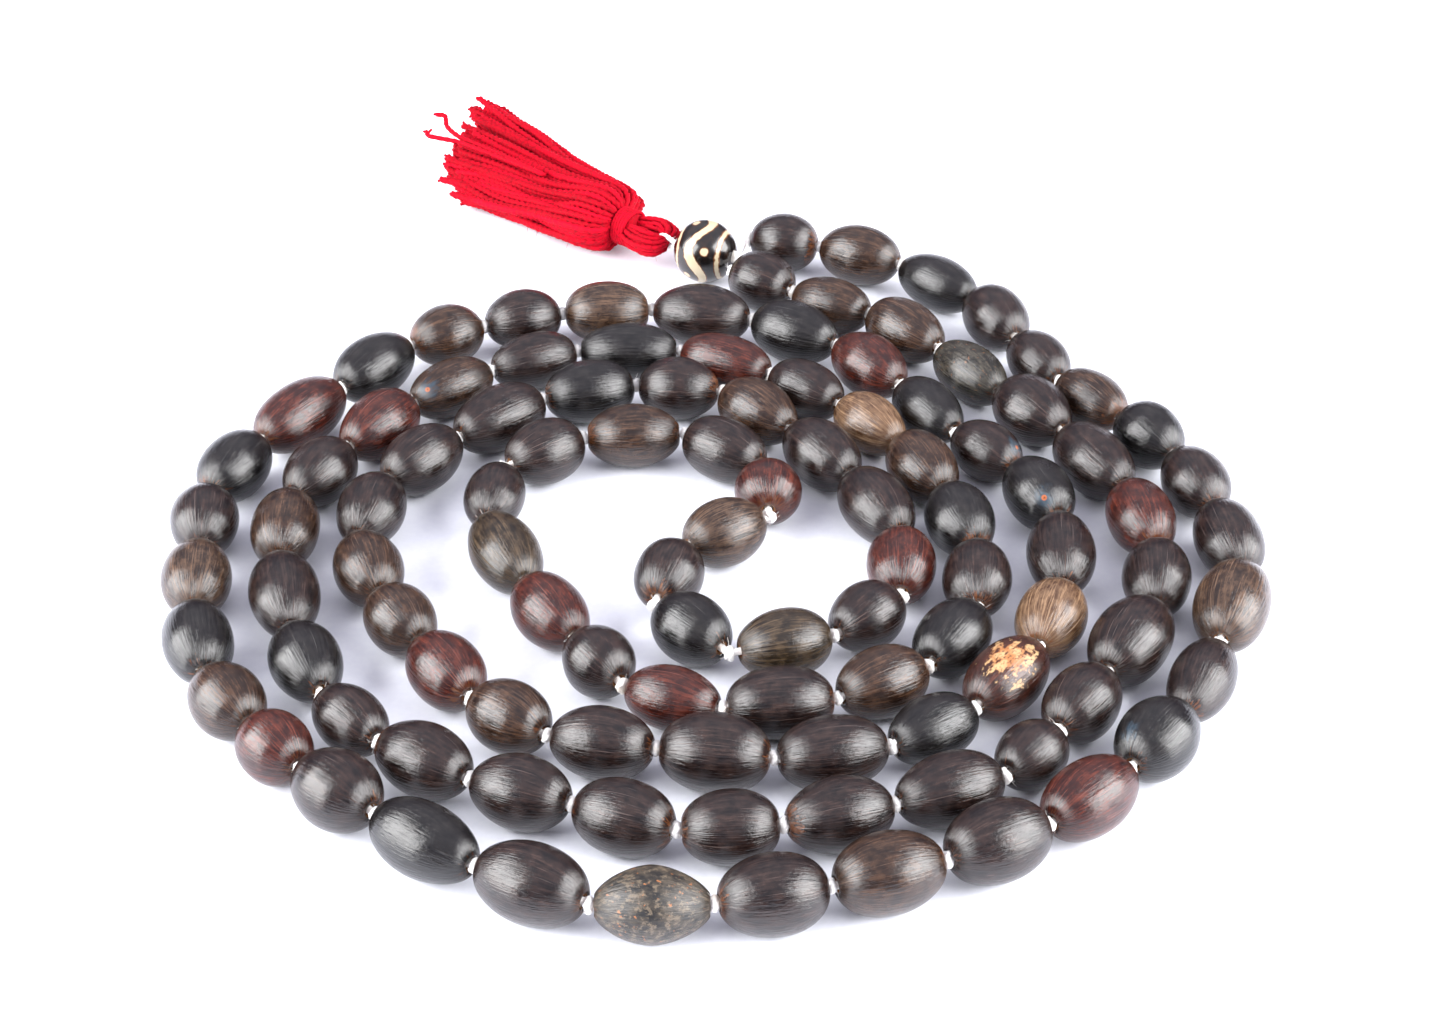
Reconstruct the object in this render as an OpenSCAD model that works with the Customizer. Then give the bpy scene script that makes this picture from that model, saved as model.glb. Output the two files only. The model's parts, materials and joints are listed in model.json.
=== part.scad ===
// Mala: a string of knotted lotus-seed beads with a guru bead and a tassel.
// It lies coiled on a flat surface, which is the plane z = 0. Lengths are in millimetres.
// x points to the right, y away from the front and z up.

/* [Seed beads] */
// Diameter of a seed of middling thickness
seed_d = 10.6; // [10:0.1:10.7]
// Diameter of a slim seed
slim_seed_d = 9.6; // [9:0.1:9.8]
// Diameter of a stout seed
stout_seed_d = 11.4; // [10.4:0.1:11.4]
// Diameter of the hole drilled through a seed
seed_bore_d = 1.3; // [1.3:0.05:1.4]

/* [Cord] */
// Diameter of the cotton cord
cord_d = 1.2; // [0.8:0.05:1.2]
// Diameter of the knot between two seeds
knot_d = 2.3; // [1.8:0.1:2.4]
// Room that a knot takes between two seeds where the cord runs straight
knot_gap = 0.9; // [0.8:0.1:1.6]

/* [Guru bead] */
// Diameter of the guru bead
guru_d = 11.1; // [10:0.1:11.2]
// Diameter of its hole, which passes both ends of the cord
guru_bore_d = 2.5; // [2.45:0.05:2.8]

/* [Tassel] */
// Length of the skirt of yarns below the binding
skirt_len = 57; // [40:1:60]
// Width of the skirt near its tips
skirt_w = 27; // [18:1:28]
// Diameter of the binding around the neck
binding_d = 7; // [6.6:0.2:8]
// Thickness of the bundle of yarns in the head loop
bundle_d = 3.4; // [2.8:0.1:3.6]

/* [Hidden] */
$fn = 48;

// The cord's route as seen from above, one point at each knot. It starts at the guru bead, goes
// clockwise round the outside of the coil, winds inwards, folds back on itself at the middle and
// winds out again to the guru bead.
knots = [
    [5, 59], [18, 56], [32, 50], [44, 39], [50, 26], [56, 14], [65, 3], [72, -8], [76, -22],
    [78, -38], [72, -55], [65, -70], [56, -82], [44, -93], [30, -100], [15, -105], [0, -108],
    [-16, -108], [-31, -101], [-45, -91], [-56, -82], [-64, -73], [-72, -62], [-76, -47],
    [-77, -32], [-78, -18], [-72, -4], [-61, 11], [-51, 24], [-39, 30], [-26, 34], [-11, 35],
    [6, 32], [20, 24], [30, 12], [38, -1], [47, -11], [52, -25], [51, -42], [46, -56],
    [36, -69], [24, -77], [8, -80], [-8, -78], [-23, -75], [-34, -67], [-42, -55], [-49, -44],
    [-54, -30], [-51, -15], [-41, -3], [-28, 8], [-13, 12], [1, 10], [12, -1], [21, -14],
    [28, -29], [27, -44], [17, -53], [2, -57], [-9, -46], [-5, -32], [8, -24], [8, -11],
    [-5, -2], [-21, -3], [-33, -11], [-35, -25], [-28, -41], [-20, -54], [-13, -64], [1, -69],
    [17, -67], [30, -60], [38, -47], [39, -32], [35, -18], [29, -4], [20, 7], [9, 16],
    [-6, 23], [-23, 23], [-37, 17], [-49, 7], [-58, -6], [-65, -19], [-65, -35], [-61, -52],
    [-55, -66], [-46, -76], [-33, -84], [-19, -89], [-5, -94], [9, -93], [24, -89], [39, -83],
    [47, -74], [55, -62], [64, -47], [66, -32], [63, -17], [55, -2], [46, 10], [37, 23],
    [26, 34], [13, 41], [2, 48]
];

// Thickness of each seed in order along the cord: s is slim, m middling and l stout.
thickness = str(
    "mmsmssmmml", "slmlllmlml", "mmmmmmmmmm", "mmmmssmmmm", "smlmmmmmmm", "mmmmmmmmmm",
    "mmmmmmsmmm", "smmmmmmsss", "sssmmmmmsm", "mmmmmsmlmm", "mlsmsm"
);
seed_count = len(thickness);

// How much further a seed stands from its knot where the cord turns sharply
corner_room = 2.8;
// The same beside the guru bead, where both ends of the cord turn off into its hole
guru_end_room = 0.7;
// The outline of a seed is a superellipse of this power, cut off square by the drill at its ends.
seed_power = 2.3;
seed_overrun = 1.05;
seed_steps = 12;
// Width of the funnel that the drill leaves at each end of a seed
funnel_d = 3.3;
// Clearance between a knot and the end of a cord that flexes on it
flex_gap = 0.1;
// The cord through a seed stops this far from the middle of the knot that it ends in.
cord_stop = 0.4;
// How many seeds a short length of the cord passes through
cord_length = 8;

// The seeds near the guru bead have a node each, from both ends of the cord inwards.
single_run = 25;
near_seeds = [1:single_run];
far_seeds = [seed_count - single_run + 1:seed_count];
// The seeds between them are drawn in two runs, which meet at the middle of the cord.
middle_seed = seed_count / 2;

// The guru bead: the place of its middle, and the direction of its hole towards the tassel
guru_at = [-2, 54];
guru_turn = 158;
// Both ends of the cord twisted together, and how far their collar knot is from the bead's middle
twisted_cord_d = 2.4;
collar_reach = 7;
// The twisted cord stops this far inside the mouth of the hole.
mouth_room = 0.4;

// The ring of cord that ties the tassel to the guru bead
tie_cord_d = 1.1;
tie_ring_d = 5;
tie_gap = 0.4;
// The head of the tassel: its direction, the loop's width and the neck inside the binding
head_turn = 144;
loop_ring_d = 5.6;
neck_d = 5.4;
binding_len = 3.6;
binding_wraps = 5;
// The skirt's direction, and its thickness at the shoulder and at the tips
skirt_turn = 134;
shoulder_h = 9.6;
tips_h = 7.2;

function direction(from, to) = (to - from) / norm(to - from);
function heading(v) = atan2(v[1], v[0]);
function polar(turn, reach) = reach * [cos(turn), sin(turn)];

// Seeds count from 1 to seed_count. Seed i lies between knots i - 1 and i.
function seed_r(i) =
    let (t = thickness[i - 1])
    (t == "s" ? slim_seed_d : t == "l" ? stout_seed_d : seed_d) / 2;
function seed_dir(i) = direction(knots[i - 1], knots[i]);
// The angle through which the cord turns at a knot between two seeds
function knot_bend(k) = acos(min(1, seed_dir(k) * seed_dir(k + 1)));
function seed_setback(k) =
    let (is_end = k == 0 || k == seed_count)
    knot_gap / 2 + (is_end ? guru_end_room : corner_room * pow(tan(knot_bend(k) / 2), 2));
function seed_start(i) = knots[i - 1] + seed_dir(i) * seed_setback(i - 1);
function seed_end(i) = knots[i] - seed_dir(i) * seed_setback(i);
function seed_middle(i) = (seed_start(i) + seed_end(i)) / 2;
function seed_len(i) = norm(seed_end(i) - seed_start(i));
// A seed rests on the table, and a knot lies halfway in height between its two seeds.
function knot_height(k) = (seed_r(max(1, k)) + seed_r(min(seed_count, k + 1))) / 2;
function knot_at(k) = [each knots[k], knot_height(k)];

// The outline of a seed from one end face to the other, beside its axis
function seed_outline(len, r) =
    let (
        reach = seed_overrun * len / 2,
        first = acos(pow(1 / seed_overrun, seed_power / 2)),
        step = (180 - 2 * first) / seed_steps
    )
    [
        for (s = [0:seed_steps])
            let (t = first + s * step)
            [
                r * pow(sin(t), 2 / seed_power),
                -sign(cos(t)) * reach * pow(abs(cos(t)), 2 / seed_power)
            ]
    ];

module seed_shape(len, r) {
    funnel_depth = (funnel_d - seed_bore_d) / 2;
    rotate_extrude()
        polygon([
            [seed_bore_d / 2, funnel_depth - len / 2],
            [funnel_d / 2, -len / 2],
            each seed_outline(len, r),
            [funnel_d / 2, len / 2],
            [seed_bore_d / 2, len / 2 - funnel_depth]
        ]);
}

module seed(i) {
    color("#4a2f28")
    translate([each seed_middle(i), seed_r(i)])
    rotate([0, 90, heading(seed_dir(i))])
        seed_shape(seed_len(i), seed_r(i));
}

// A straight round bar between two points
module bar(from, to, d) {
    span = to - from;
    translate(from)
    rotate([0, acos(span[2] / norm(span)), heading(span)])
        cylinder(h = norm(span), d = d);
}

module cord_through_seed(i) {
    from = knots[i - 1] + seed_dir(i) * cord_stop;
    to = knots[i] - seed_dir(i) * cord_stop;
    bar([each from, seed_r(i)], [each to, seed_r(i)], cord_d);
}

// The direction across the cord at a knot, on the outside of its bend
function knot_outside(k) =
    let (before = seed_dir(max(1, k)), after = seed_dir(min(seed_count, k + 1)))
    heading(before + after) + (before[0] * after[1] > before[1] * after[0] ? -90 : 90);

module knot(k) {
    translate(knot_at(k))
    rotate([0, 0, knot_outside(k)])
        sphere(d = knot_d);
}

// Room around a knot for the cord of the next body, which flexes on it
module knot_clearance(k) {
    translate(knot_at(k)) sphere(d = knot_d + 2 * flex_gap);
}

// The cord through the seeds that stay on the table, with its knots. It is joined up in short
// lengths first, and each length ends in a knot that the next one starts from.
module strand_cord() {
    color("ivory")
    union() {
        for (first = [3:cord_length:seed_count - 2])
            union() {
                last = min(first + cord_length - 1, seed_count - 2);
                for (i = [first:last]) cord_through_seed(i);
                for (k = [first - 1:last]) knot(k);
            }
    }
}

// The first stretch that lifts, one seed long on both sides of the guru bead
module lift_cord() {
    color("ivory")
    difference() {
        union() {
            cord_through_seed(2);
            cord_through_seed(seed_count - 1);
            knot(1);
            knot(seed_count - 1);
        }
        knot_clearance(2);
        knot_clearance(seed_count - 2);
    }
}

guru_middle = [each guru_at, guru_d / 2];
collar_at = guru_middle - [each polar(guru_turn, collar_reach), 0];
guru_mouth = guru_middle + [each polar(guru_turn, guru_d / 2), 0];

// Both ends of the cord, from the last seeds to the collar knot and through the guru bead
module head_cord() {
    color("ivory")
    difference() {
        union() {
            for (i = [1, seed_count]) cord_through_seed(i);
            for (k = [0, seed_count]) {
                knot(k);
                bar(knot_at(k), collar_at, cord_d);
            }
            translate(collar_at) sphere(d = twisted_cord_d);
            bar(collar_at, guru_mouth - [each polar(guru_turn, mouth_room), 0], twisted_cord_d);
        }
        knot_clearance(1);
        knot_clearance(seed_count - 1);
    }
}

module guru_bead() {
    color("#1c1512")
    translate(guru_middle)
    rotate([0, 90, guru_turn])
    difference() {
        sphere(d = guru_d);
        cylinder(h = 2 * guru_d, d = guru_bore_d, center = true);
    }
}

// The tie ring stands upright at the mouth of the hole, and the tassel's head loop lies flat
// through it.
tie_at = guru_mouth + [each polar(head_turn, tie_gap + (tie_cord_d + tie_ring_d) / 2), 0];
loop_reach = loop_ring_d + bundle_d / 2;
binding_start = loop_reach - 1;
skirt_start = binding_start + binding_len;

module tie_loop() {
    color("ivory")
    translate(tie_at)
    rotate([90, 0, head_turn])
    rotate_extrude()
    translate([tie_ring_d / 2, 0])
        circle(d = tie_cord_d);
}

// Draws its children along the tassel's head, with x running away from the guru bead.
module at_tie() {
    translate(tie_at) rotate([0, 0, head_turn]) children();
}

module tassel_loop() {
    color("#e0102c")
    at_tie()
    union() {
        translate([loop_ring_d / 2, 0, 0])
        rotate_extrude()
        translate([loop_ring_d / 2, 0])
            circle(d = bundle_d);
        translate([binding_start - 1, 0, 0])
        rotate([0, 90, 0])
            cylinder(h = binding_len + 1, d = neck_d);
    }
}

module tassel_binding() {
    wrap_d = binding_len / binding_wraps;
    color("#d40d28")
    at_tie()
    translate([binding_start, 0, 0])
    rotate([0, 90, 0])
    union() {
        difference() {
            cylinder(h = binding_len, d = binding_d - wrap_d);
            cylinder(h = 3 * binding_len, d = neck_d, center = true);
        }
        for (w = [0:binding_wraps - 1])
            translate([0, 0, (w + 0.5) * wrap_d])
            rotate_extrude()
            translate([(binding_d - wrap_d) / 2, 0])
                circle(d = wrap_d);
    }
}

// A plain closed shape of the size of the yarns together: a full shoulder and flat wide tips
module tassel_skirt() {
    start = tie_at + [each polar(head_turn, skirt_start), 0];
    color("#e0102c")
    translate([start[0], start[1], 0])
    rotate([0, 0, skirt_turn])
    hull() {
        translate([0.1, 0, start[2]])
        rotate([0, 90, head_turn - skirt_turn])
            cylinder(h = 0.1, d = neck_d, $fn = 32);
        translate([9, 0, shoulder_h / 2])
        scale([8, 7.5, shoulder_h / 2])
            sphere(r = 1, $fn = 32);
        for (side = [-1, 1])
            translate([skirt_len - tips_h / 2, side * (skirt_w - tips_h) / 2, tips_h / 2])
                sphere(d = tips_h, $fn = 24);
    }
}

function seed_name(i) = str("seed_bead_", i < 10 ? "00" : i < 100 ? "0" : "", i);

strand_cord();
lift_cord();
head_cord();
guru_bead();
tie_loop();
tassel_loop();
tassel_binding();
tassel_skirt();
for (i = [single_run + 1:middle_seed]) seed(i);  // inward_seeds
for (i = [middle_seed + 1:seed_count - single_run]) seed(i);  // outward_seeds
for (i = near_seeds) seed(i);
for (i = far_seeds) seed(i);
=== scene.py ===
"""Mala prayer beads: the looks of the seeds, cord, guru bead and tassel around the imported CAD."""

import json
import math

import bpy
import numpy as np
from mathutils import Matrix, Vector


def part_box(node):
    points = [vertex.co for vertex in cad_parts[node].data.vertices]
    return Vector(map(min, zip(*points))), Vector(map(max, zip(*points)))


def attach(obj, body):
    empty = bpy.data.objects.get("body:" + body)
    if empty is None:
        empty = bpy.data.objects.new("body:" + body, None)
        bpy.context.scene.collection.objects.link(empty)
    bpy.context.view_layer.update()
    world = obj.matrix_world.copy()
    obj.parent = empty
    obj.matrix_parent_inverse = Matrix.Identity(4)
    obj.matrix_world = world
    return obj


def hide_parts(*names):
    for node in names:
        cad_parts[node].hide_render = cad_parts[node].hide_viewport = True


MM = 0.001
UP = np.array([0.0, 0.0, 1.0])
rng = np.random.default_rng(108)

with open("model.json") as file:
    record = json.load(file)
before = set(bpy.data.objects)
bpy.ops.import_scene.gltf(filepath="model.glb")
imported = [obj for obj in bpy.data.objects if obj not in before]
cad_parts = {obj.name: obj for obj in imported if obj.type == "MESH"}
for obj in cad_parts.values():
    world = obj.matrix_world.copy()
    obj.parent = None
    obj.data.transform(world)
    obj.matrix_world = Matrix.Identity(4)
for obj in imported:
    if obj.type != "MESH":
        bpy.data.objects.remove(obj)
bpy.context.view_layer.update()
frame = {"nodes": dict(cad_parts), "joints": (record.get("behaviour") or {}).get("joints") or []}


# ---- Geometry helpers: all lengths are in millimetres until a mesh is made ----


def unit(v):
    return v / np.linalg.norm(v, axis=-1, keepdims=True)


def compass(degrees):
    """The level direction that stands so many degrees from +x."""
    return np.array([math.cos(math.radians(degrees)), math.sin(math.radians(degrees)), 0.0])


def spline(points, step):
    """A smooth path through the points, sampled about every step."""
    p = np.asarray(points, float)
    ext = np.vstack([2 * p[0] - p[1], p, 2 * p[-1] - p[-2]])
    out = []
    for a, b, c, d in zip(ext, ext[1:], ext[2:], ext[3:]):
        n = max(2, int(np.linalg.norm(c - b) / step))
        t = np.arange(n)[:, None] / n
        out.append(
            0.5 * (2 * b + (c - a) * t + (2 * a - 5 * b + 4 * c - d) * t**2
                   + (3 * b - a - 3 * c + d) * t**3)
        )
    return np.vstack([*out, p[-1:]])


def along(path):
    """The distance from the start of a path to each of its points."""
    return np.concatenate([[0.0], np.cumsum(np.linalg.norm(np.diff(path, axis=0), axis=1))])


def tube(path, radius, sides=12, lobes=0, lay=3.0, groove=0.22, phase=0.0):
    """Rings of points round a path. Lobes are the plies of a twisted cord, one turn per lay."""
    tangent = unit(np.gradient(path, axis=0))
    side = np.empty_like(tangent)
    start = np.cross(tangent[0], UP)
    side[0] = unit(start if np.linalg.norm(start) > 0.1 else np.cross(tangent[0], [1.0, 0, 0]))
    for i in range(1, len(path)):
        side[i] = unit(side[i - 1] - tangent[i] * (tangent[i] @ side[i - 1]))
    other = np.cross(tangent, side)
    turn = np.linspace(0, 2 * math.pi, sides, endpoint=False)
    r = np.broadcast_to(np.asarray(radius, float), len(path))[:, None] * np.ones(sides)
    if lobes:
        twist = 2 * math.pi * along(path)[:, None] / lay + phase
        r = r * (1 - groove * (1 - np.abs(np.cos(lobes / 2 * (turn - twist)))))
    cos, sin = np.cos(turn)[None, :, None], np.sin(turn)[None, :, None]
    ring = cos * side[:, None] + sin * other[:, None]
    return (path[:, None] + r[..., None] * ring).reshape(-1, 3)


def ring_faces(rings, sides, capped=True):
    """Quads between rings of points, and over both end rings."""
    i = np.arange(rings - 1)[:, None] * sides
    j = np.arange(sides)
    k = (j + 1) % sides
    quads = np.stack([i + j, i + k, i + sides + k, i + sides + j], -1).reshape(-1, 4)
    if capped:
        j = np.arange(sides // 2 - 1)
        cap = np.stack([j, j + 1, sides - 2 - j, sides - 1 - j], -1)
        quads = np.vstack([quads, cap[:, ::-1], cap + (rings - 1) * sides])
    return quads


class Shape:
    """Collects surfaces with their point attributes, and makes one mesh of them."""

    def __init__(self):
        self.points, self.faces, self.values = [], [], {}
        self.count = 0

    def add(self, points, faces, **values):
        self.points.append(points)
        self.faces.append(faces + self.count)
        self.count += len(points)
        for name, value in values.items():
            value = np.asarray(value, float)
            size = (len(points), 3) if value.shape[-1:] == (3,) else (len(points),)
            self.values.setdefault(name, []).append(np.broadcast_to(value, size))

    def add_tube(self, path, radius, sides=12, values=None, **ply):
        self.add(tube(path, radius, sides, **ply), ring_faces(len(path), sides), **(values or {}))

    def make(self, name, body, slot, material, replaces):
        points = np.vstack(self.points) * MM
        faces = np.vstack(self.faces)
        mesh = bpy.data.meshes.new(name)
        mesh.vertices.add(len(points))
        mesh.vertices.foreach_set("co", points.astype(np.float32).ravel())
        mesh.loops.add(faces.size)
        mesh.loops.foreach_set("vertex_index", faces.astype(np.int32).ravel())
        mesh.polygons.add(len(faces))
        mesh.polygons.foreach_set("loop_start", np.arange(0, faces.size, 4, dtype=np.int32))
        for key, parts in self.values.items():
            value = np.concatenate(parts).astype(np.float32)
            vector = value.ndim == 2
            layer = mesh.attributes.new(key, "FLOAT_VECTOR" if vector else "FLOAT", "POINT")
            layer.data.foreach_set("vector" if vector else "value", value.ravel())
        mesh.update(calc_edges=True)
        mesh.shade_smooth()
        mesh.materials.append(material)
        obj = bpy.data.objects.new(name, mesh)
        bpy.context.scene.collection.objects.link(obj)
        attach(obj, body)
        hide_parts(*replaces)


# ---- Material helpers ----


class Nodes:
    """A short way to write the node tree of a material or of the world."""

    def __init__(self, owner, shader="Principled BSDF"):
        self.owner = owner
        owner.use_nodes = True
        self.tree = owner.node_tree
        self.shader = self.tree.nodes[shader]

    def node(self, kind, inputs=None, **settings):
        made = self.tree.nodes.new(kind)
        for key, value in settings.items():
            setattr(made, key, value)
        for key, value in (inputs or {}).items():
            self.put(made.inputs[key], value)
        return made

    def put(self, socket, value):
        if isinstance(value, bpy.types.NodeSocket):
            self.tree.links.new(value, socket)
        else:
            socket.default_value = value

    def attribute(self, name, output="Fac"):
        return self.node("ShaderNodeAttribute", attribute_name=name).outputs[output]

    def stretch(self, vector, scale):
        return self.node("ShaderNodeMapping", {"Vector": vector, "Scale": scale}).outputs[0]

    def noise(self, vector, scale, detail=3.0, roughness=0.6):
        """Noise of one scale, or of one scale along each axis."""
        if isinstance(scale, tuple):
            vector, scale = self.stretch(vector, scale), 1.0
        inputs = {"Vector": vector, "Scale": scale, "Detail": detail, "Roughness": roughness}
        return self.node("ShaderNodeTexNoise", inputs).outputs["Fac"]

    def ramp(self, value, low, high, to_low=0.0, to_high=1.0, kind="SMOOTHSTEP"):
        """Maps the range from low to high onto the range from to_low to to_high."""
        inputs = {"Value": value, 1: low, 2: high, 3: to_low, 4: to_high}
        return self.node("ShaderNodeMapRange", inputs, interpolation_type=kind).outputs[0]

    def linear(self, value, low, high, to_low, to_high):
        return self.ramp(value, low, high, to_low, to_high, "LINEAR")

    def math(self, operation, a, b):
        return self.node("ShaderNodeMath", {0: a, 1: b}, operation=operation).outputs[0]

    def mix(self, share, a, b):
        """Colour a, with a share of colour b over it."""
        inputs = {0: share, 6: a, 7: b}
        return self.node("ShaderNodeMix", inputs, data_type="RGBA").outputs[2]

    def bump(self, height, depth, strength=1.0, normal=None):
        """A bump of a depth in millimetres, over another normal if one is given."""
        inputs = {"Height": height, "Distance": depth * MM, "Strength": strength}
        if normal is not None:
            inputs["Normal"] = normal
        return self.node("ShaderNodeBump", inputs).outputs[0]

    def finish(self, **sockets):
        for key, value in sockets.items():
            self.put(self.shader.inputs[key.replace("_", " ")], value)
        return self.owner


def new_material(name):
    return Nodes(bpy.data.materials.new(name))


def rgb(r, g, b):
    return (r, g, b, 1.0)


# ---- The camera ----

CAMERA_PLACE = (0.001, -0.3646, 0.25445)
CAMERA_TILT = 54  # degrees from straight down
CAMERA_LENS = 69.235
CAMERA_SENSOR = 36.0


def add_camera():
    camera = bpy.data.objects.new("camera", bpy.data.cameras.new("camera"))
    camera.data.lens = CAMERA_LENS
    camera.data.sensor_width = CAMERA_SENSOR
    camera.location = CAMERA_PLACE
    camera.rotation_euler = (math.radians(CAMERA_TILT), 0, 0)
    bpy.context.scene.collection.objects.link(camera)
    bpy.context.scene.camera = camera


# ---- The seeds' places, read from the CAD ----

WELD = 0.005  # corners closer together than this are one


def node_mesh(name):
    """The points and triangles of a CAD node."""
    mesh = frame["nodes"][name].data
    points = np.empty(len(mesh.vertices) * 3)
    mesh.vertices.foreach_get("co", points)
    mesh.calc_loop_triangles()
    corners = np.empty(len(mesh.loop_triangles) * 3, np.int32)
    mesh.loop_triangles.foreach_get("vertices", corners)
    return points.reshape(-1, 3) / MM, corners.reshape(-1, 3)


def solids(name):
    """The triangles of each separate solid of a CAD node, as an array of corners."""
    points, corners = node_mesh(name)
    weld = np.unique(np.round(points / WELD), axis=0, return_inverse=True)[1].ravel()
    welded = weld[corners]
    label = np.arange(weld.max() + 1)
    # Each point takes the lowest label among its neighbours, until nothing changes.
    while True:
        lowest = label[welded].min(axis=1)
        joined = label.copy()
        for c in range(3):
            np.minimum.at(joined, welded[:, c], lowest)
        joined = joined[joined]
        if (joined == label).all():
            break
        label = joined
    owner = label[welded[:, 0]]
    return [points[corners[owner == o]] for o in np.unique(owner)]


class Seed:
    """One seed's middle, axis, length and radius. Its flat ends give the axis."""

    def __init__(self, triangles):
        points = triangles.reshape(-1, 3)
        self.middle = (points.min(0) + points.max(0)) / 2
        normal = np.cross(triangles[:, 1] - triangles[:, 0], triangles[:, 2] - triangles[:, 0])
        size = np.linalg.norm(normal, axis=1)
        normal = normal[size > 1e-6] / size[size > 1e-6, None]
        level = normal[np.abs(normal[:, 2]) < 1e-3]
        level = level * np.where(level[:, :1] < 0, -1, 1)
        kinds, counts = np.unique(np.round(level, 3), axis=0, return_counts=True)
        self.axis = unit(kinds[counts.argmax()] * [1, 1, 0])
        reach = (points - self.middle) @ self.axis
        self.length = reach.max() - reach.min()
        self.radius = (points[:, 2].max() - points[:, 2].min()) / 2

    def end(self, way):
        """The middle of the seed's end, with way 1 for the far one and -1 for the near one."""
        return self.middle + way * self.axis * self.length / 2

    def distance(self, place):
        """How far a place is from the seed's closer end."""
        return min(np.linalg.norm(self.end(way) - place) for way in (-1, 1))

    def point_away(self, place):
        """Turns the axis so that it leads away from a place."""
        if self.axis @ (self.middle - place) < 0:
            self.axis = -self.axis


def string_seeds():
    """All the seeds in order along the cord, each with its CAD node and with its axis along
    the cord."""
    names = sorted(n for n in frame["nodes"] if n.startswith("seed_bead_"))
    singles = [(Seed(solids(name)[0]), name) for name in names]
    half = len(singles) // 2
    string = singles[:1]
    string[0][0].point_away(2 * string[0][0].middle - singles[1][0].middle)

    def thread(seed, node):
        seed.point_away(string[-1][0].end(1))
        string.append((seed, node))

    for seed, node in singles[1:half]:
        thread(seed, node)
    for node in ("inward_seeds", "outward_seeds"):
        seeds = [Seed(triangles) for triangles in solids(node)]
        while seeds:
            here = string[-1][0].end(1)
            seeds.sort(key=lambda seed: seed.distance(here))
            thread(seeds.pop(0), node)
    for seed, node in singles[half:]:
        thread(seed, node)
    return string


STRING = string_seeds()
SEEDS = [s for s, _ in STRING]
COUNT = len(SEEDS)
GAP = min(np.linalg.norm(b.end(-1) - a.end(1)) for a, b in zip(SEEDS, SEEDS[1:]))


def knot_between(a, b):
    """Where the axes of two seeds meet, between them."""
    gap = (b.end(-1) - a.end(1)) * [1, 1, 0]
    reach = np.linalg.norm(gap) / np.linalg.norm(a.axis + b.axis)
    place = a.end(1) + a.axis * reach
    return np.array([place[0], place[1], (a.radius + b.radius) / 2])


KNOTS = [
    SEEDS[0].end(-1) - SEEDS[0].axis * GAP / 2,
    *[knot_between(a, b) for a, b in zip(SEEDS, SEEDS[1:])],
    SEEDS[-1].end(1) + SEEDS[-1].axis * GAP / 2,
]

JOINTS = {j["name"]: j for j in frame["joints"]}


def joint_at(name):
    return np.array(JOINTS[name]["pos_m"]) / MM, np.array(JOINTS[name]["axis"])


GURU, GURU_AXIS = joint_at("guru_spin")
GURU_R = (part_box("guru_bead")[1].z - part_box("guru_bead")[0].z) / MM / 2
MOUTH = joint_at("tie_swing")[0]
TIE, TIE_AXIS = joint_at("tassel_lift")
HEAD_WAY = np.cross(UP, TIE_AXIS)


# ---- Seeds ----

HOLE_R = 0.66
FUNNEL_R = 1.2
SEED_SIDES = 80
FAR = 50.0  # a distance that no mark on a seed reaches

# Each seed's kind in order along the cord: k near-black, d dark purple-brown, b brown,
# s streaked, r reddish, o olive, t tan, m mottled grey, w worn on one side, g grey-green
KINDS = (
    "dbkddbkdds" "dkrdbdmdkd" "rbksdkrkbd" "sdkrkdkdtw" "kdddbrbbdd" "dkdbddrdok"
    "dsrdbddord" "rdbkdkbtdr" "kdbrdbdkdd" "dddddddddr" "ddgbbd"
)
# Seeds with an orange-brown worn end, and with a bluish bloom round the tip of the seed
WORN_ENDS = {1, 4, 6, 29, 53, 65, 73, 77, 89, 90, 94}
BLOOMS = {12, 18, 36, 37, 50, 83}
# The outline is an oval of this power. The pointed seed is the mottled one in front.
OVAL_POWERS = (1.95, 2.2)
POINTED_SEED, POINTED_POWER = 17, 1.75
LIP_DROP = 0.03  # how far the drilled end's rim stays inside the CAD solid's
# The hole's profile from deep inside to the rim: (depth, radius)
HOLE = np.array([(2.6, HOLE_R - 0.02), (0.9, HOLE_R), (0.45, HOLE_R + 0.12),
                 (0.18, FUNNEL_R - 0.25), (0.04, FUNNEL_R - 0.05), (0.0, FUNNEL_R + 0.08)])


def seed_profile(seed, power):
    """(distance along the axis, radius) from inside one hole, over the seed and into the other."""
    half = seed.length / 2 - LIP_DROP
    first = math.asin(((FUNNEL_R + 0.25) / seed.radius) ** (power / 2))
    t = np.linspace(first, math.pi - first, 52)
    x = -np.sign(np.cos(t)) * np.abs(np.cos(t)) ** (2 / power)
    x = x / abs(x[0]) * half
    r = seed.radius * np.sin(t) ** (2 / power)
    left = np.column_stack([HOLE[:, 0] - half, HOLE[:, 1]])
    right = (left * [-1, 1])[::-1]
    return np.vstack([left, np.column_stack([x, r]), right])


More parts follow.
